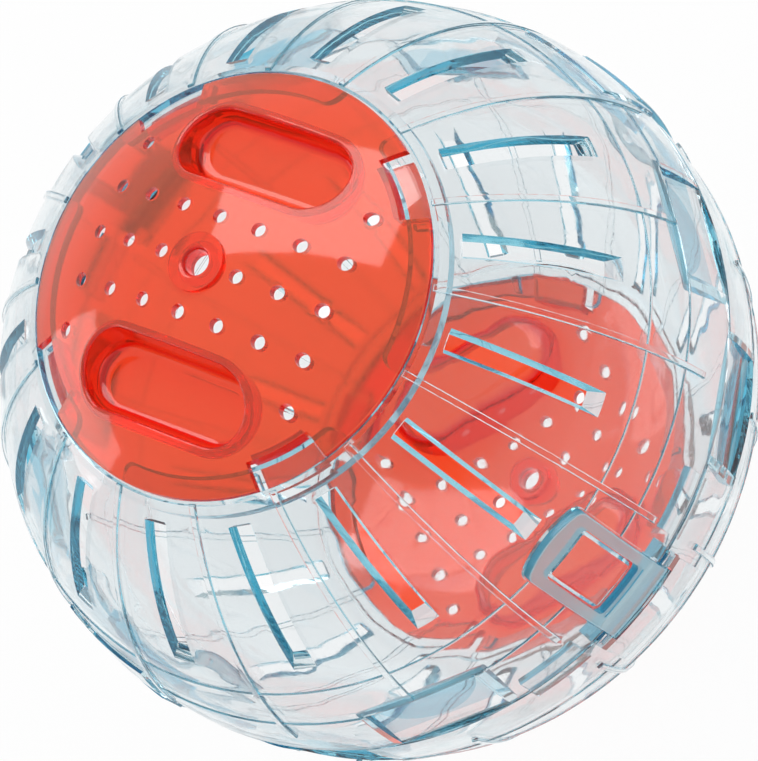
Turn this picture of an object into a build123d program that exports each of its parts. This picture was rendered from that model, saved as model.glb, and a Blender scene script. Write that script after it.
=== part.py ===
"""Hamster ball of clear plastic: two like half shells, two red twist-in lids and four swing latches.

Sizes are in millimetres and angles in degrees. The ball's axis is Z and passes through both lids, the seam
lies in the XY plane, and a latch stands at +X. A polar angle is counted from the top of the axis.
"""
from build123d import *

import os
from math import acos, asin, cos, degrees, radians, sin, sqrt

# Ball
ball_radius = 95.0
wall = 2.0
seam_bevel = 0.4
overlap = 0.5  # how far a feature is sunk into the wall that carries it
running_gap = 0.4  # clear space round a piece that swings or slides
seat_gap = 0.3  # clear space between a lid and what it sits on or hooks under

# Lid mouth of a half shell, with the flange that the lid hooks under
lid_radius = 53.0
lid_wall = 2.0
lid_rim_round = 0.6
seat_width = 5.6  # of the ledge that the lid's rim rests on
flange_wall = 2.0
collar_wall = 2.0
flange_count = 4
flange_gap_angle = 21.0
flange_corner = 3.0
stop_angle = 1.6
stop_height = 1.6

# Lines, ribs and slots of a half shell
line_radius = 0.4
line_polars = (69.2, 77.9)
spoke_count = 16
rib_width = 1.7
rib_height = 0.7
rib_crown = 0.25
rib_top_gap = 0.5  # from the lid mouth's step
rib_foot_polar = 82.6
scoop_rib_gap = 0.5
slot_width = 6.2
slot_inner_width = 3.8
slot_top_gap = 5.5  # from the lid mouth's step
slot_foot_polar = 63.8
slot_ramp_angle = 2.5

# Finger scoops beside the seam
scoop_count = 4
scoop_azimuth = -32.8
scoop_width = 29.6
scoop_top_polar = 77.2
scoop_depth = 3.6
scoop_drop = 3.0
scoop_rim_depth = 1.3
scoop_hollow = 3.0

# Locating lips inside the seam
lip_azimuth = 15.75
lip_angle = 10.0
lip_wall = 1.5
lip_reach = 4.0
lip_root = 6.0

# Latch: a frame that swings on two pins beside the seam and drops over a catch on the other half
latch_width = 20.6
latch_leg = 3.0
latch_wall = 2.0
latch_proud = 1.4
latch_reach = 38.2  # from the seam
latch_crown = 2.5
latch_corner = 2.5
latch_round = 0.5
latch_bridge = 5.4  # from the window to the latch's tip
window_foot = 9.0  # from the seam
window_corner = 1.5
slit_bar = 1.4  # of latch left between the window and the slit below it
slit_height = 0.6
barrel_radius = 2.2
pin_radius = 1.15
pin_gap = 0.05
pin_length = 2.8
pin_end_gap = 0.4
pin_depth = 1.6  # from the ball's outer face
pin_offset = 2.6  # from the seam
cheek_width = 3.6
hinge_pad_proud = 0.8
hinge_pad_height = 24.6
hinge_swing_gap = 0.5
catch_gap = 0.8
catch_foot_gap = 1.6
catch_proud = 0.6
catch_bevel = 0.9

# Lid details, laid out on its own row direction
lid_lock_turn = 27.5
rear_lid_back_turn = 4.0
hook_angle = 17.5
hook_notch_angle = 20.5
hook_wall = 2.0
hook_setback = 1.2  # of the hook's tip from the lid's rim
hook_foot = 2.0
vent_radius = 1.75
vent_columns = 3  # on each side of the hub
vent_rows = 2  # on each side of the hub, in the outermost columns
vent_slant = 36.34  # bearing of the outermost vents
vent_margin = 1.9  # of lid left between a vent and the ring of hooks
hub_bore_radius = 3.2
hub_bevel = 1.2
hub_boss_radius = 7.3
hub_boss_height = 0.9
hub_sleeve_radius = 5.6
hub_sleeve_drop = 2.5
well_setout = 21.2  # from the axis to the well's inner side
well_margin = 14.6  # from the lid's rim to the well's outer side
well_end_gap = 3.3  # from the well's ends to the ring of hooks
well_depth = 7.4  # at the well's outer side
well_draft = 5.0
well_floor_round = 3.0
well_rim_round = 0.8

# Sizes that follow from those above
inner_radius = ball_radius - wall
mouth_radius = lid_radius - seat_width
hook_reach = lid_radius - hook_setback
seat_radius = ball_radius - lid_wall - seat_gap
flange_under = seat_radius - flange_wall
step_radius = lid_radius + running_gap
collar_radius = step_radius + collar_wall
hook_outer = mouth_radius - running_gap
hook_inner = hook_outer - hook_wall
hook_top = flange_under - seat_gap
hook_under = hook_top - hook_foot
lid_inner = ball_radius - lid_wall
rib_top_polar = degrees(asin((step_radius + rib_top_gap) / ball_radius))
slot_top_polar = degrees(asin((step_radius + slot_top_gap) / ball_radius))
spoke_angle = 360 / spoke_count
flange_angle = 360 / flange_count
latch_shoulder = latch_reach - latch_crown
window_head = latch_reach - latch_bridge
latch_outer = ball_radius + latch_proud
latch_inner = latch_outer - latch_wall
pocket_radius = latch_inner - running_gap
pin_circle = ball_radius - pin_depth
notch_half_width = latch_width / 2 + running_gap
hinge_half_width = notch_half_width + cheek_width
notch_floor = pin_circle - barrel_radius - running_gap
notch_height = pin_offset + latch_outer - pin_circle + hinge_swing_gap
hinge_block_height = notch_height + wall
hinge_block_radius = notch_floor - wall
lid_turn = flange_angle / 2 - lid_lock_turn
hook_azimuth = flange_angle - lid_lock_turn
vent_field = hook_inner - vent_margin - vent_radius
vent_pitch = vent_field * cos(radians(vent_slant)) / vent_columns
vent_row_pitch = vent_field * sin(radians(vent_slant)) / vent_rows
well_reach = lid_radius - well_margin
well_width = well_reach - well_setout
well_offset = well_setout + well_width / 2
well_end_circle = hook_inner - well_end_gap - well_width / 2
well_length = 2 * sqrt(well_end_circle**2 - well_offset**2) + well_width
well_floor = sqrt(ball_radius**2 - well_reach**2) - well_depth
seam_flip = Axis((0, 0, 0), (1, 1, 0))


def height_on(radius, reach):
    """Height of a sphere about the ball's centre at a distance from the axis."""
    return sqrt(radius**2 - reach**2)


def at_polar(radius, polar):
    """Point in the XZ plane at a radius and a polar angle."""
    return Vector(radius * sin(radians(polar)), 0, radius * cos(radians(polar)))


def wall_arc(radius, reach_from, reach_to):
    """Arc about the ball's centre between two distances from the axis."""
    start = degrees(acos(reach_from / radius))
    return CenterArc((0, 0), radius, start, degrees(acos(reach_to / radius)) - start)


def ring_sector(inner, outer, polar_top, polar_foot):
    """Closed outline between two arcs about the ball's centre."""
    with BuildLine() as outline:
        outer_arc = CenterArc((0, 0), outer, 90 - polar_foot, polar_foot - polar_top)
        inner_arc = CenterArc((0, 0), inner, 90 - polar_foot, polar_foot - polar_top)
        Line(outer_arc @ 0, inner_arc @ 0)
        Line(outer_arc @ 1, inner_arc @ 1)
    make_face(outline.edges())


def on_mouth(edge):
    """Whether an upright edge stands on the rim of the lid mouth."""
    return abs(Vector(edge.center().X, edge.center().Y).length - mouth_radius) < overlap


def over_scoop(azimuth):
    """Whether a spoke meets a finger scoop."""
    pitch = 360 / scoop_count
    offset = (azimuth - scoop_azimuth + pitch / 2) % pitch - pitch / 2
    return abs(ball_radius * sin(radians(offset))) < scoop_width / 2


def is_well_rim(edge):
    """Whether an edge lies on the lid's outer face."""
    return abs((edge @ 0.5).length - ball_radius) < line_radius


def rib_down_to(foot_polar):
    """Rib up the outside of the wall on the +X side, from the lid mouth to a polar angle."""
    with BuildPart() as rib:
        with BuildSketch(Plane.XZ):
            ring_sector(ball_radius - overlap, ball_radius + rib_height, rib_top_polar, foot_polar)
        extrude(amount=rib_width / 2, both=True)
        fillet(rib.faces().sort_by(SortBy.AREA)[-1].edges(), rib_crown)
    return rib.part


def latch_outline(grow):
    """Outline of a latch seen along X, grown by an even margin."""
    half = latch_width / 2
    with BuildLine() as outline:
        Polyline((-half, latch_shoulder), (-half, -pin_offset), (half, -pin_offset), (half, latch_shoulder))
        ThreePointArc((half, latch_shoulder), (0, latch_reach), (-half, latch_shoulder))
    make_face(outline.edges())
    shoulders = vertices().group_by(Axis.Y)[1]
    fillet(shoulders, latch_corner)
    if grow:
        offset(amount=grow, mode=Mode.REPLACE)


# Latch at +X, hinged on the rear half
with BuildPart() as rear_latch_a:
    with BuildSketch(Plane.YZ):
        latch_outline(0)
        with Locations((0, (window_foot + window_head) / 2)):
            RectangleRounded(
                latch_width - 2 * latch_leg, window_head - window_foot, window_corner, mode=Mode.SUBTRACT
            )
        with Locations((0, window_foot - slit_bar - slit_height / 2)):
            Rectangle(latch_width - 2 * latch_leg, slit_height, mode=Mode.SUBTRACT)
    extrude(amount=2 * ball_radius)
    Sphere(latch_outer, mode=Mode.INTERSECT)
    Sphere(latch_inner, mode=Mode.SUBTRACT)
    latch_rim = faces().sort_by(SortBy.DISTANCE)[-1].outer_wire().edges()
    fillet(latch_rim.sort_by(Axis.Z)[1:], latch_round)
    with BuildSketch(Plane.XZ):
        with Locations((pin_circle, -pin_offset)):
            Circle(barrel_radius)
    extrude(amount=latch_width / 2, both=True)
    with BuildSketch(Plane.XZ):
        with Locations((pin_circle, -pin_offset)):
            Circle(pin_radius)
    extrude(amount=latch_width / 2 + pin_length, both=True)

# Space that a closed latch takes up
with BuildPart() as latch_pocket:
    with BuildSketch(Plane.YZ):
        latch_outline(running_gap)
    extrude(amount=2 * ball_radius)
    Sphere(pocket_radius, mode=Mode.SUBTRACT)

# Catch that stands in the latch's window
with BuildPart() as catch:
    with BuildSketch(Plane.YZ):
        catch_head = window_head - catch_gap
        catch_foot = window_foot + catch_foot_gap
        with Locations((0, (catch_foot + catch_head) / 2)):
            RectangleRounded(
                latch_width - 2 * (latch_leg + running_gap), catch_head - catch_foot, window_corner
            )
    extrude(amount=2 * ball_radius)
    Sphere(ball_radius + catch_proud, mode=Mode.INTERSECT)
    Sphere(pocket_radius - overlap, mode=Mode.SUBTRACT)
    chamfer(faces().sort_by(SortBy.DISTANCE)[-1].edges(), catch_bevel)

# Raised pad and inner block that carry a latch's pins
with BuildPart() as hinge_pad:
    with BuildSketch(Plane.YZ):
        with Locations((0, hinge_pad_height / 2)):
            Rectangle(2 * hinge_half_width, hinge_pad_height)
    extrude(amount=2 * ball_radius)
    Sphere(ball_radius + hinge_pad_proud, mode=Mode.INTERSECT)
    Sphere(inner_radius, mode=Mode.SUBTRACT)

with BuildPart() as hinge_block:
    with BuildSketch(Plane.YZ):
        with Locations((0, hinge_block_height / 2)):
            Rectangle(2 * hinge_half_width, hinge_block_height)
    extrude(amount=2 * ball_radius)
    Sphere(inner_radius + overlap, mode=Mode.INTERSECT)
    Sphere(hinge_block_radius, mode=Mode.SUBTRACT)

with BuildPart() as hinge_notch:
    with BuildSketch(Plane.XY):
        with Locations((notch_floor, 0)):
            Rectangle(ball_radius, 2 * notch_half_width, align=(Align.MIN, Align.CENTER))
    extrude(amount=notch_height)
    with BuildSketch(Plane.XZ):
        with Locations((pin_circle, pin_offset)):
            Circle(pin_radius + pin_gap)
    extrude(amount=latch_width / 2 + pin_length + pin_end_gap, both=True)

# Finger scoop, sunk most below its upper edge and running out at the seam
scoop_lip = at_polar(ball_radius, scoop_top_polar)
scoop_low_z = scoop_lip.Z - scoop_drop
scoop_low = Vector(height_on(ball_radius, scoop_low_z) - scoop_depth, 0, scoop_low_z)
scoop_start = scoop_low + (scoop_lip - scoop_low) * 2
scoop_rim_x = ball_radius - scoop_rim_depth
with BuildPart() as scoop:
    with BuildSketch(Plane.XZ) as scoop_section:
        Polygon(
            (scoop_start.X, scoop_start.Z),
            (scoop_low.X, scoop_low.Z),
            (scoop_rim_x, 0),
            (scoop_rim_x, -scoop_drop),
            (2 * ball_radius, -scoop_drop),
            (2 * ball_radius, scoop_start.Z),
            align=None,
        )
        fillet(vertices().sort_by(Axis.X)[0], scoop_hollow)
    extrude(amount=scoop_width / 2, both=True)

with BuildPart() as scoop_back:
    with BuildSketch(Plane.XZ):
        add(scoop_section.sketch_local)
        offset(amount=wall, mode=Mode.REPLACE)
    extrude(amount=scoop_width / 2 + wall, both=True)
    Sphere(inner_radius + overlap, mode=Mode.INTERSECT)
    split(bisect_by=Plane.XY)

# Tapered slot with a ramp at its lower end
slot_start = at_polar(1, slot_top_polar + 90)
slot_foot_outer = at_polar(ball_radius, slot_foot_polar)
slot_foot_inner = at_polar(inner_radius, slot_foot_polar - slot_ramp_angle)
ramp = slot_foot_outer - slot_foot_inner
slot_flare = (slot_width - slot_inner_width) / 2 / wall
with BuildPart() as slot:
    with BuildSketch(Plane((0, 0, 0), x_dir=(0, 1, 0), z_dir=slot_start)):
        outer_half = slot_width / 2 + slot_flare * wall
        inner_half = slot_inner_width / 2 - slot_flare * wall / 2
        Polygon(
            (-outer_half, ball_radius + wall),
            (outer_half, ball_radius + wall),
            (inner_half, inner_radius - wall / 2),
            (-inner_half, inner_radius - wall / 2),
            align=None,
        )
    revolve(axis=Axis.Y, revolution_arc=slot_foot_polar - slot_top_polar + slot_ramp_angle)
    ramp_plane = Plane(slot_foot_outer, x_dir=(0, 1, 0), z_dir=(ramp.Z, 0, -ramp.X))
    split(bisect_by=ramp_plane, keep=Keep.BOTTOM)

# Gap in the flange where a lid hook goes in
with BuildPart() as flange_gap:
    with BuildSketch(Plane.XZ):
        Rectangle(hook_reach + running_gap, 2 * ball_radius, align=Align.MIN)
    revolve(axis=Axis.Z, revolution_arc=flange_gap_angle)

# Stop under the flange that a hook meets when its lid is fully turned
with BuildPart() as hook_stop:
    with BuildSketch(Plane.XZ):
        with BuildLine():
            stop_top = wall_arc(flange_under + overlap, hook_reach, mouth_radius + seat_gap)
            stop_low = wall_arc(flange_under - stop_height, hook_reach, mouth_radius + seat_gap)
            Line(stop_top @ 0, stop_low @ 0)
            Line(stop_top @ 1, stop_low @ 1)
        make_face()
    revolve(axis=Axis.Z, revolution_arc=stop_angle)

# Lip that guides the other half's rim
lip_outer = inner_radius - running_gap
lip_inner = lip_outer - lip_wall
with BuildPart() as lip:
    with BuildSketch(Plane.XZ):
        Polygon(
            (lip_inner, -lip_reach),
            (lip_outer, -lip_reach),
            (lip_outer, running_gap),
            (inner_radius + overlap, running_gap),
            (inner_radius + overlap, lip_root),
            (lip_inner, lip_root),
            align=None,
        )
    revolve(axis=Axis.Z, revolution_arc=lip_angle)

# Front half shell
rib_azimuths = [spoke_angle * (spoke + 0.5) for spoke in range(spoke_count)]
long_rib = rib_down_to(rib_foot_polar)
short_rib = rib_down_to(scoop_top_polar - scoop_rib_gap)
with BuildPart() as front_half_shell:
    with BuildSketch(Plane.XZ):
        with BuildLine():
            outside = wall_arc(ball_radius, height_on(ball_radius, seam_bevel), step_radius)
            seat = wall_arc(seat_radius, step_radius, mouth_radius)
            under = wall_arc(flange_under, mouth_radius, collar_radius)
            inside = wall_arc(inner_radius, collar_radius, inner_radius)
            Line(outside @ 1, seat @ 0)
            Line(seat @ 1, under @ 0)
            Line(under @ 1, inside @ 0)
            Polyline(inside @ 1, (ball_radius - seam_bevel, 0), outside @ 0)
        make_face()
        for polar in line_polars:
            place = at_polar(ball_radius, polar)
            with Locations((place.X, place.Z)):
                Circle(line_radius)
    revolve(axis=Axis.Z)
    with Locations([Rotation(0, 0, azimuth) for azimuth in rib_azimuths if not over_scoop(azimuth)]):
        add(long_rib)
    with Locations([Rotation(0, 0, azimuth) for azimuth in rib_azimuths if over_scoop(azimuth)]):
        add(short_rib)
    with PolarLocations(0, flange_count, start_angle=-flange_gap_angle / 2):
        add(flange_gap.part, mode=Mode.SUBTRACT)
    flange_ends = [edge for edge in edges().filter_by(Axis.Z) if on_mouth(edge)]
    fillet(flange_ends, flange_corner)
    with PolarLocations(0, 2, start_angle=90):
        add([hinge_pad.part, hinge_block.part])
    with PolarLocations(0, scoop_count, start_angle=scoop_azimuth):
        add(scoop_back.part)
    with PolarLocations(0, spoke_count):
        add(slot.part, mode=Mode.SUBTRACT)
    with PolarLocations(0, 2):
        add(latch_pocket.part, mode=Mode.SUBTRACT)
        add(catch.part)
    with PolarLocations(0, 2, start_angle=90):
        add(hinge_notch.part, mode=Mode.SUBTRACT)
    with PolarLocations(0, scoop_count, start_angle=scoop_azimuth):
        add(scoop.part, mode=Mode.SUBTRACT)
    with PolarLocations(0, 4, start_angle=lip_azimuth - lip_angle / 2):
        add(lip.part)
    with PolarLocations(0, flange_count, start_angle=hook_azimuth - hook_angle / 2 - 2 * stop_angle):
        add(hook_stop.part)

# Rear half shell: the same moulding, turned over
with BuildPart() as rear_half_shell:
    add(front_half_shell.part.rotate(seam_flip, 180))

# Finger wells of a lid: their walls, and the space inside them
lid_plane = Plane.XY.rotated((0, 0, lid_turn))
well_places = [(0, -well_offset), (0, well_offset)]
with BuildPart() as well_walls:
    with BuildSketch(lid_plane.offset(well_floor - lid_wall)):
        with Locations(well_places):
            SlotOverall(well_length + 2 * lid_wall, well_width + 2 * lid_wall)
    extrude(amount=ball_radius - well_floor + lid_wall, taper=-well_draft)
    fillet(faces().group_by(Axis.Z)[0].edges(), well_floor_round + lid_wall)
    Sphere(ball_radius - overlap, mode=Mode.INTERSECT)

with BuildPart() as well_spaces:
    with BuildSketch(lid_plane.offset(well_floor)):
        with Locations(well_places):
            SlotOverall(well_length, well_width)
    extrude(amount=ball_radius - well_floor, taper=-well_draft)
    fillet(faces().group_by(Axis.Z)[0].edges(), well_floor_round)

# Hook under a lid's rim, and the notch above it
with BuildPart() as hook:
    with BuildSketch(Plane.XZ):
        with BuildLine():
            hook_root = wall_arc(lid_inner + overlap, hook_outer, hook_inner)
            hook_ledge = wall_arc(hook_top, hook_reach, hook_outer)
            hook_sole = wall_arc(hook_under, hook_reach, hook_inner)
            Line(hook_root @ 0, hook_ledge @ 1)
            Line(hook_ledge @ 0, hook_sole @ 0)
            Line(hook_sole @ 1, hook_root @ 1)
        make_face()
    revolve(axis=Axis.Z, revolution_arc=hook_angle)

with BuildPart() as hook_notch:
    with BuildSketch(Plane.XZ):
        Polygon(
            (hook_outer, 0),
            (2 * lid_radius, 0),
            (2 * lid_radius, 2 * ball_radius),
            (hook_outer, 2 * ball_radius),
            align=None,
        )
    revolve(axis=Axis.Z, revolution_arc=hook_notch_angle)

# Front lid, turned home
vents = []
for column in range(-vent_columns, vent_columns + 1):
    reach = vent_rows if abs(column) == vent_columns else 1
    for row in range(-reach, reach + 1):
        if column or row:
            vents.append((column * vent_pitch, row * vent_row_pitch))
hub_top = ball_radius + hub_boss_height
with BuildPart() as front_lid:
    with BuildSketch(Plane.XZ):
        with BuildLine():
            lid_outside = wall_arc(ball_radius, lid_radius, 0)
            lid_inside = wall_arc(lid_inner, lid_radius, 0)
            Line(lid_outside @ 0, lid_inside @ 0)
            Line(lid_outside @ 1, lid_inside @ 1)
        make_face()
        fillet(vertices().sort_by(Axis.X)[-2:].sort_by(Axis.Y)[-1], lid_rim_round)
    revolve(axis=Axis.Z)
    add(well_walls.part)
    add(well_spaces.part, mode=Mode.SUBTRACT)
    fillet(edges(Select.LAST).filter_by(is_well_rim), well_rim_round)
    with PolarLocations(0, flange_count, start_angle=hook_azimuth - hook_notch_angle / 2):
        add(hook_notch.part, mode=Mode.SUBTRACT)
    with PolarLocations(0, flange_count, start_angle=hook_azimuth - hook_angle / 2):
        add(hook.part)
    with BuildSketch(Plane.XY.offset(ball_radius - overlap)):
        Circle(hub_boss_radius)
    extrude(amount=hub_boss_height + overlap)
    with BuildSketch(Plane.XY.offset(lid_inner - hub_sleeve_drop)):
        Circle(hub_sleeve_radius)
    extrude(amount=hub_sleeve_drop + overlap)
    with BuildSketch(Plane.XY.offset(hub_top)):
        Circle(hub_bore_radius)
    extrude(amount=-ball_radius, mode=Mode.SUBTRACT)
    hub_mouth = edges().filter_by(GeomType.CIRCLE).filter_by_position(Axis.Z, hub_top, hub_top)
    fillet(hub_mouth.sort_by(SortBy.RADIUS)[0], hub_bevel)
    with BuildSketch(lid_plane.offset(hub_top)):
        with Locations(vents):
            Circle(vent_radius)
    extrude(amount=-ball_radius / 2, mode=Mode.SUBTRACT)

# Rear lid: the same moulding, turned over and not quite turned home
with BuildPart() as rear_lid:
    add(front_lid.part.rotate(seam_flip, 180).rotate(Axis.Z, -rear_lid_back_turn))

# The other three latches
with BuildPart() as rear_latch_b:
    add(rear_latch_a.part.rotate(Axis.Z, 180))

with BuildPart() as front_latch_a:
    add(rear_latch_a.part.rotate(seam_flip, 180))

with BuildPart() as front_latch_b:
    add(front_latch_a.part.rotate(Axis.Z, 180))

os.makedirs("parts", exist_ok=True)
pieces = {
    "front_half_shell": front_half_shell,
    "rear_half_shell": rear_half_shell,
    "front_lid": front_lid,
    "rear_lid": rear_lid,
    "rear_latch_a": rear_latch_a,
    "rear_latch_b": rear_latch_b,
    "front_latch_a": front_latch_a,
    "front_latch_b": front_latch_b,
}
for name, piece in pieces.items():
    piece.part.label = name
    export_step(piece.part, f"parts/{name}.step")
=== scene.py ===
import bpy
from mathutils import Matrix, Vector


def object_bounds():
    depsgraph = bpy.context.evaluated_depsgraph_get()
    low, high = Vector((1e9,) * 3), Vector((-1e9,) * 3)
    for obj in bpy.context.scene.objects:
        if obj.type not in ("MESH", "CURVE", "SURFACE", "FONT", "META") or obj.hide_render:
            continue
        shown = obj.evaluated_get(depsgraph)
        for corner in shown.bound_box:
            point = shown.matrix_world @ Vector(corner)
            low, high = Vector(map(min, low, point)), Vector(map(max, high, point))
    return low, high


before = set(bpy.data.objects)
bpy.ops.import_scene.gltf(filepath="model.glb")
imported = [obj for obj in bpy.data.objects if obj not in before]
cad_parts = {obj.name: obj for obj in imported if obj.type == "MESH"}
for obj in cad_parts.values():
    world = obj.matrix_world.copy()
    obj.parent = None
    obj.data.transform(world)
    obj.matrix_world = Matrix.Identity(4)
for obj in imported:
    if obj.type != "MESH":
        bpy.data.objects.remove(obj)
cad_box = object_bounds()


# The two half shells are the ball itself. Each is injection moulded in clear polystyrene, with its ribs,
# air slots and finger scoops moulded in. They meet on a bevelled seam with locating lips inside it, and the
# latches hold them shut.

def linear_colour(code):
    """An sRGB hex colour as the linear red, green, blue and alpha that a socket takes."""
    shares = [int(code[i:i + 2], 16) / 255 for i in (1, 3, 5)]
    return [s / 12.92 if s <= 0.04045 else ((s + 0.055) / 1.055) ** 2.4 for s in shares] + [1.0]


def add_node(tree, kind, settings, links):
    """Adds a node, sets its sockets and properties by name, and links its inputs to other nodes' outputs."""
    node = tree.nodes.new(kind)
    for name, value in settings.items():
        if isinstance(name, int) or name in node.inputs:
            node.inputs[name].default_value = value
        else:
            setattr(node, name, value)
    for name, source in links.items():
        tree.links.new(source, node.inputs[name])
    return node


# Moulded clear polystyrene: hard and glossy like glass, with long soft waves where the melt flowed and
# shrank. A thin wall is nearly colourless. Blue-green is painted into the colour at cut edges, a painted
# shade for light that runs along a wall, and a darker painted shade of it in the scoops, which lie deeper
# than the wall.
clear_polystyrene = bpy.data.materials.new("clear_polystyrene")
clear_polystyrene.use_nodes = True
tree = clear_polystyrene.node_tree
tree.nodes.clear()
ball_radius = 0.095
scoop_floor = 0.0925
scoop_middle = 0.0125
scoop_height = 0.017
# How far the painted shade in the scoops moves their colour towards the blue-green.
scoop_painted_shade = 0.3
flow_wave = 0.016
scuff_size = 0.0012
place = add_node(tree, "ShaderNodeTexCoord", {}, {})
waves = add_node(tree, "ShaderNodeTexNoise", {"Scale": 1 / flow_wave, "Detail": 1.0},
                 {"Vector": place.outputs["Object"]})
shrinkage = add_node(tree, "ShaderNodeBump", {"Strength": 1.0, "Distance": 0.00022},
                     {"Height": waves.outputs["Fac"]})
scuffs = add_node(tree, "ShaderNodeTexNoise", {"Scale": 1 / scuff_size, "Detail": 3.0},
                  {"Vector": place.outputs["Object"]})
polish = add_node(tree, "ShaderNodeMapRange",
                  {"From Min": 0.45, "From Max": 0.75, "To Min": 0.012, "To Max": 0.07},
                  {"Value": scuffs.outputs["Fac"]})
outward = add_node(tree, "ShaderNodeVectorMath", {"operation": "NORMALIZE"}, {0: place.outputs["Object"]})
facing = add_node(tree, "ShaderNodeVectorMath", {"operation": "DOT_PRODUCT"},
                  {0: outward.outputs["Vector"], 1: place.outputs["Normal"]})
flatness = add_node(tree, "ShaderNodeMath", {"operation": "ABSOLUTE"}, {0: facing.outputs["Value"]})
reach = add_node(tree, "ShaderNodeVectorMath", {"operation": "LENGTH"}, {0: place.outputs["Object"]})
proud = add_node(tree, "ShaderNodeMath", {"operation": "GREATER_THAN", 1: ball_radius},
                 {0: reach.outputs["Value"]})
face_on_share = add_node(tree, "ShaderNodeMath", {"operation": "MAXIMUM"},
                     {0: flatness.outputs[0], 1: proud.outputs[0]})
across = add_node(tree, "ShaderNodeSeparateXYZ", {}, {"Vector": place.outputs["Object"]})
from_seam = add_node(tree, "ShaderNodeMath", {"operation": "ABSOLUTE"}, {0: across.outputs["Z"]})
beside_seam = add_node(tree, "ShaderNodeMath",
                       {"operation": "COMPARE", 1: scoop_middle, 2: scoop_height / 2},
                       {0: from_seam.outputs[0]})
sunk = add_node(tree, "ShaderNodeMath", {"operation": "LESS_THAN", 1: scoop_floor},
                {0: reach.outputs["Value"]})
scoop_shade_mask = add_node(tree, "ShaderNodeMath", {"operation": "MULTIPLY"},
                   {0: beside_seam.outputs[0], 1: sunk.outputs[0]})
# Painted shade in the scoops: parts beside the seam that are sunk below the scoop floor move down the ramp.
painted_shade_ramp_fac = add_node(tree, "ShaderNodeMath", {"operation": "MULTIPLY_ADD", 1: -scoop_painted_shade},
                          {0: scoop_shade_mask.outputs[0], 2: face_on_share.outputs[0]})
# Painted shade: where the surface doesn't face out from the ball's centre, at cut edges and slot walls, the
# ramp paints blue-green; proud ribs stay pale.
colour = add_node(tree, "ShaderNodeValToRGB", {}, {"Fac": painted_shade_ramp_fac.outputs[0]})
colour.color_ramp.elements[0].position = 0.55
colour.color_ramp.elements[0].color = linear_colour("#5cbcd8")
colour.color_ramp.elements[1].position = 0.9
colour.color_ramp.elements[1].color = linear_colour("#f4f6f7")
plastic = add_node(tree, "ShaderNodeBsdfPrincipled",
                   {"IOR": 1.59, "Transmission Weight": 1.0},
                   {"Base Color": colour.outputs["Color"], "Roughness": polish.outputs["Result"],
                    "Normal": shrinkage.outputs["Normal"]})
lamp_light = add_node(tree, "ShaderNodeBsdfTransparent", {"Color": linear_colour("#e6f1f4")}, {})
ray = add_node(tree, "ShaderNodeLightPath", {}, {})
surface = add_node(tree, "ShaderNodeMixShader", {},
                   {0: ray.outputs["Is Shadow Ray"], 1: plastic.outputs["BSDF"],
                    2: lamp_light.outputs["BSDF"]})
tint = add_node(tree, "ShaderNodeVolumeAbsorption",
                {"Color": linear_colour("#85d3df"), "Density": 16.0}, {})
add_node(tree, "ShaderNodeOutputMaterial", {},
         {"Surface": surface.outputs["Shader"], "Volume": tint.outputs["Volume"]})

for name in ("front_half_shell", "rear_half_shell"):
    half_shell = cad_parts[name]
    half_shell.data.materials[0] = clear_polystyrene


# The lids close the two round doors. Each is moulded in see-through red polystyrene, with two finger wells
# and rows of air holes, and its hooks turn under a flange inside the shell's mouth.

# Moulded red polystyrene: the same glossy plastic with a strong dye, orange-red through one wall. The full
# red at rims and roundings is a painted shade, for light that passes through more of the plastic there.
red_polystyrene = bpy.data.materials.new("red_polystyrene")
red_polystyrene.use_nodes = True
tree = red_polystyrene.node_tree
tree.nodes.clear()
place = add_node(tree, "ShaderNodeTexCoord", {}, {})
waves = add_node(tree, "ShaderNodeTexNoise", {"Scale": 1 / flow_wave, "Detail": 1.0},
                 {"Vector": place.outputs["Object"]})
shrinkage = add_node(tree, "ShaderNodeBump", {"Strength": 1.0, "Distance": 0.00005},
                     {"Height": waves.outputs["Fac"]})
scuffs = add_node(tree, "ShaderNodeTexNoise", {"Scale": 1 / scuff_size, "Detail": 3.0},
                  {"Vector": place.outputs["Object"]})
polish = add_node(tree, "ShaderNodeMapRange",
                  {"From Min": 0.35, "From Max": 0.65, "To Min": 0.05, "To Max": 0.08},
                  {"Value": scuffs.outputs["Fac"]})
outward = add_node(tree, "ShaderNodeVectorMath", {"operation": "NORMALIZE"}, {0: place.outputs["Object"]})
facing = add_node(tree, "ShaderNodeVectorMath", {"operation": "DOT_PRODUCT"},
                  {0: outward.outputs["Vector"], 1: place.outputs["Normal"]})
flatness = add_node(tree, "ShaderNodeMath", {"operation": "ABSOLUTE"}, {0: facing.outputs["Value"]})
# Painted shade: where the surface doesn't face out from the ball's centre, at rims and roundings, the ramp
# paints a full red.
colour = add_node(tree, "ShaderNodeValToRGB", {}, {"Fac": flatness.outputs[0]})
colour.color_ramp.elements[0].position = 0.3
colour.color_ramp.elements[0].color = linear_colour("#f8764c")
colour.color_ramp.elements[1].position = 0.9
colour.color_ramp.elements[1].color = linear_colour("#ffb074")
painted_rim_shade = colour.color_ramp.elements.new(0.65)
painted_rim_shade.color = linear_colour("#ea2412")
plastic = add_node(tree, "ShaderNodeBsdfPrincipled",
                   {"IOR": 1.59, "Transmission Weight": 0.88},
                   {"Base Color": colour.outputs["Color"], "Roughness": polish.outputs["Result"],
                    "Normal": shrinkage.outputs["Normal"]})
lamp_light = add_node(tree, "ShaderNodeBsdfTransparent", {"Color": linear_colour("#f2806a")}, {})
ray = add_node(tree, "ShaderNodeLightPath", {}, {})
surface = add_node(tree, "ShaderNodeMixShader", {},
                   {0: ray.outputs["Is Shadow Ray"], 1: plastic.outputs["BSDF"],
                    2: lamp_light.outputs["BSDF"]})
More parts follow.
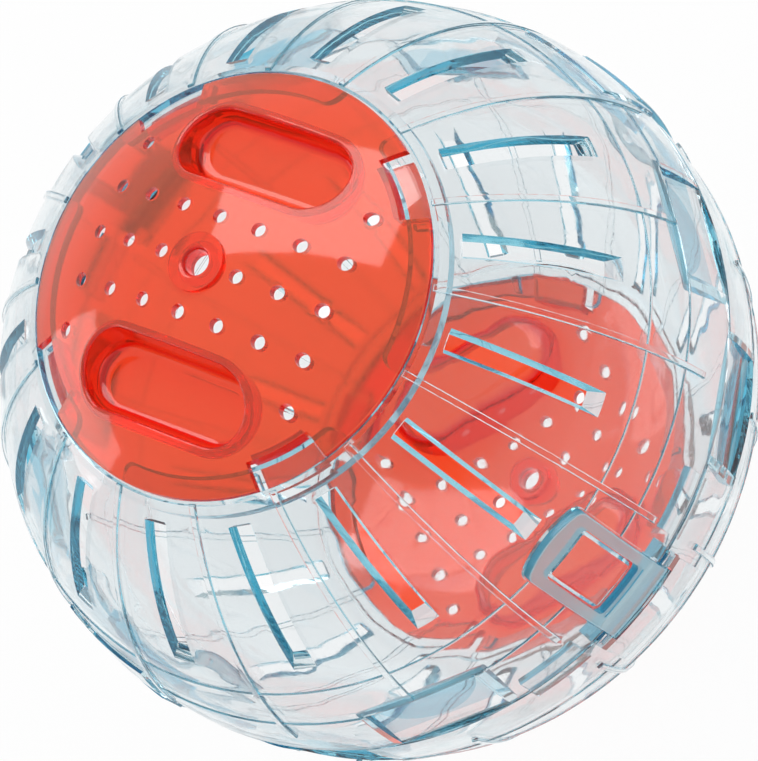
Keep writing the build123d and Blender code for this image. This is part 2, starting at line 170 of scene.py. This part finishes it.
tint = add_node(tree, "ShaderNodeVolumeAbsorption",
                {"Color": linear_colour("#ff7a0d"), "Density": 1150.0}, {})
add_node(tree, "ShaderNodeOutputMaterial", {},
         {"Surface": surface.outputs["Shader"], "Volume": tint.outputs["Volume"]})

for name in ("front_lid", "rear_lid"):
    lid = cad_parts[name]
    lid.data.materials[0] = red_polystyrene


# Four latches hold the halves together. Each is a small moulded frame of pale blue polystyrene that swings
# on two pins of its own and drops over a catch on the other half.

# Moulded blue polystyrene: the shells' plastic with a little blue in it, pale and slightly cloudy in the
# frame's face. The full sky blue along its edges is a painted shade, for light that runs through more of the
# plastic there.
blue_polystyrene = bpy.data.materials.new("blue_polystyrene")
blue_polystyrene.use_nodes = True
tree = blue_polystyrene.node_tree
tree.nodes.clear()
place = add_node(tree, "ShaderNodeTexCoord", {}, {})
scuffs = add_node(tree, "ShaderNodeTexNoise", {"Scale": 1 / scuff_size, "Detail": 3.0},
                  {"Vector": place.outputs["Object"]})
polish = add_node(tree, "ShaderNodeMapRange",
                  {"From Min": 0.35, "From Max": 0.65, "To Min": 0.06, "To Max": 0.16},
                  {"Value": scuffs.outputs["Fac"]})
outward = add_node(tree, "ShaderNodeVectorMath", {"operation": "NORMALIZE"}, {0: place.outputs["Object"]})
facing = add_node(tree, "ShaderNodeVectorMath", {"operation": "DOT_PRODUCT"},
                  {0: outward.outputs["Vector"], 1: place.outputs["Normal"]})
flatness = add_node(tree, "ShaderNodeMath", {"operation": "ABSOLUTE"}, {0: facing.outputs["Value"]})
# Painted shade: where the surface doesn't face out from the ball's centre, along the frame's edges, the ramp
# paints a full sky blue.
colour = add_node(tree, "ShaderNodeValToRGB", {}, {"Fac": flatness.outputs[0]})
colour.color_ramp.elements[0].position = 0.4
colour.color_ramp.elements[0].color = linear_colour("#6cc6e0")
colour.color_ramp.elements[1].position = 0.95
colour.color_ramp.elements[1].color = linear_colour("#d8f1f7")
plastic = add_node(tree, "ShaderNodeBsdfPrincipled",
                   {"IOR": 1.59, "Transmission Weight": 0.7},
                   {"Base Color": colour.outputs["Color"], "Roughness": polish.outputs["Result"]})
lamp_light = add_node(tree, "ShaderNodeBsdfTransparent", {"Color": linear_colour("#c2dce6")}, {})
ray = add_node(tree, "ShaderNodeLightPath", {}, {})
surface = add_node(tree, "ShaderNodeMixShader", {},
                   {0: ray.outputs["Is Shadow Ray"], 1: plastic.outputs["BSDF"],
                    2: lamp_light.outputs["BSDF"]})
tint = add_node(tree, "ShaderNodeVolumeAbsorption",
                {"Color": linear_colour("#85d3df"), "Density": 16.0}, {})
add_node(tree, "ShaderNodeOutputMaterial", {},
         {"Surface": surface.outputs["Shader"], "Volume": tint.outputs["Volume"]})

for name in ("front_latch_a", "front_latch_b", "rear_latch_a", "rear_latch_b"):
    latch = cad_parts[name]
    latch.data.materials[0] = blue_polystyrene


# A plain white sweep under the ball. The camera and the clear plastic see it as white, and the lamps
# still lay the ball's soft shadow on it.
floor_size = 6.0
floor_gap = 0.0002
floor_height = cad_box[0][2] - floor_gap
bpy.ops.mesh.primitive_plane_add(size=floor_size, location=(0, 0, floor_height))
floor = bpy.context.object
floor.name = "floor"
sweep = bpy.data.materials.new("white_sweep")
sweep.use_nodes = True
tree = sweep.node_tree
tree.nodes.clear()
paper = add_node(tree, "ShaderNodeBsdfDiffuse", {"Color": linear_colour("#f4f4f4")}, {})
glow = add_node(tree, "ShaderNodeEmission", {"Color": linear_colour("#ffffff"), "Strength": 1.0}, {})
ray = add_node(tree, "ShaderNodeLightPath", {}, {})
seen = add_node(tree, "ShaderNodeMath", {"operation": "ADD", "use_clamp": True},
                {0: ray.outputs["Is Camera Ray"], 1: ray.outputs["Is Glossy Ray"]})
seen_or_through = add_node(tree, "ShaderNodeMath", {"operation": "ADD", "use_clamp": True},
                           {0: seen.outputs[0], 1: ray.outputs["Is Transmission Ray"]})
white_share = add_node(tree, "ShaderNodeMath", {"operation": "MULTIPLY", 1: 0.95},
                       {0: seen_or_through.outputs[0]})
surface = add_node(tree, "ShaderNodeMixShader", {},
                   {0: white_share.outputs[0], 1: paper.outputs["BSDF"], 2: glow.outputs["Emission"]})
add_node(tree, "ShaderNodeOutputMaterial", {}, {"Surface": surface.outputs["Shader"]})
floor.data.materials.append(sweep)


# Soft studio light: a room that is white at the horizon and dimmer overhead, a long softbox above the lid
# and a low one on the other side.
scene = bpy.context.scene
world = bpy.data.worlds.new("studio")
scene.world = world
world.use_nodes = True
tree = world.node_tree
tree.nodes.clear()
direction = add_node(tree, "ShaderNodeTexCoord", {}, {})
slope = add_node(tree, "ShaderNodeSeparateXYZ", {}, {"Vector": direction.outputs["Generated"]})
dimming = add_node(tree, "ShaderNodeMapRange",
                   {"From Min": 0.0, "From Max": 0.6, "To Min": 0.85, "To Max": 0.5, "clamp": True},
                   {"Value": slope.outputs["Z"]})
room = add_node(tree, "ShaderNodeBackground", {"Color": linear_colour("#ffffff")},
                {"Strength": dimming.outputs["Result"]})
add_node(tree, "ShaderNodeOutputWorld", {}, {"Surface": room.outputs["Background"]})

softboxes = {
    "long_softbox": ((-0.49, 0.67, 1.12), (1.3, 0.9), 10.0),
    "low_softbox": ((-0.95, -0.95, 0.42), (0.8, 0.5), 2.0),
}
for name, (position, (width, height), power) in softboxes.items():
    lamp = bpy.data.lights.new(name, "AREA")
    lamp.shape = "RECTANGLE"
    lamp.size = width
    lamp.size_y = height
    lamp.energy = power
    softbox = bpy.data.objects.new(name, lamp)
    softbox.location = position
    aim = Vector(position).to_track_quat("Z", "Y")
    softbox.rotation_euler = aim.to_euler()
    scene.collection.objects.link(softbox)


# The camera looks down on one lid from the front, turned about its own line of sight, with a long lens.
camera_distance = 12 * ball_radius
right = Vector((0.6438, 0.6211, -0.4471))
up = Vector((-0.5525, 0.7816, 0.2900))
back = Vector((0.5295, 0.0603, 0.8462))
lens = bpy.data.cameras.new("camera")
lens.sensor_width = 36.0
lens.lens = 214.9
camera = bpy.data.objects.new("camera", lens)
scene.collection.objects.link(camera)
turned = Matrix((right, up, back)).transposed().to_4x4()
camera.matrix_world = Matrix.Translation(camera_distance * back) @ turned
scene.camera = camera

# Light is followed through many inner reflections, so that edges of the clear plastic don't go black.
scene.view_settings.view_transform = "Standard"
scene.cycles.max_bounces = 128
scene.cycles.transmission_bounces = 128
scene.cycles.glossy_bounces = 128
scene.cycles.transparent_max_bounces = 32
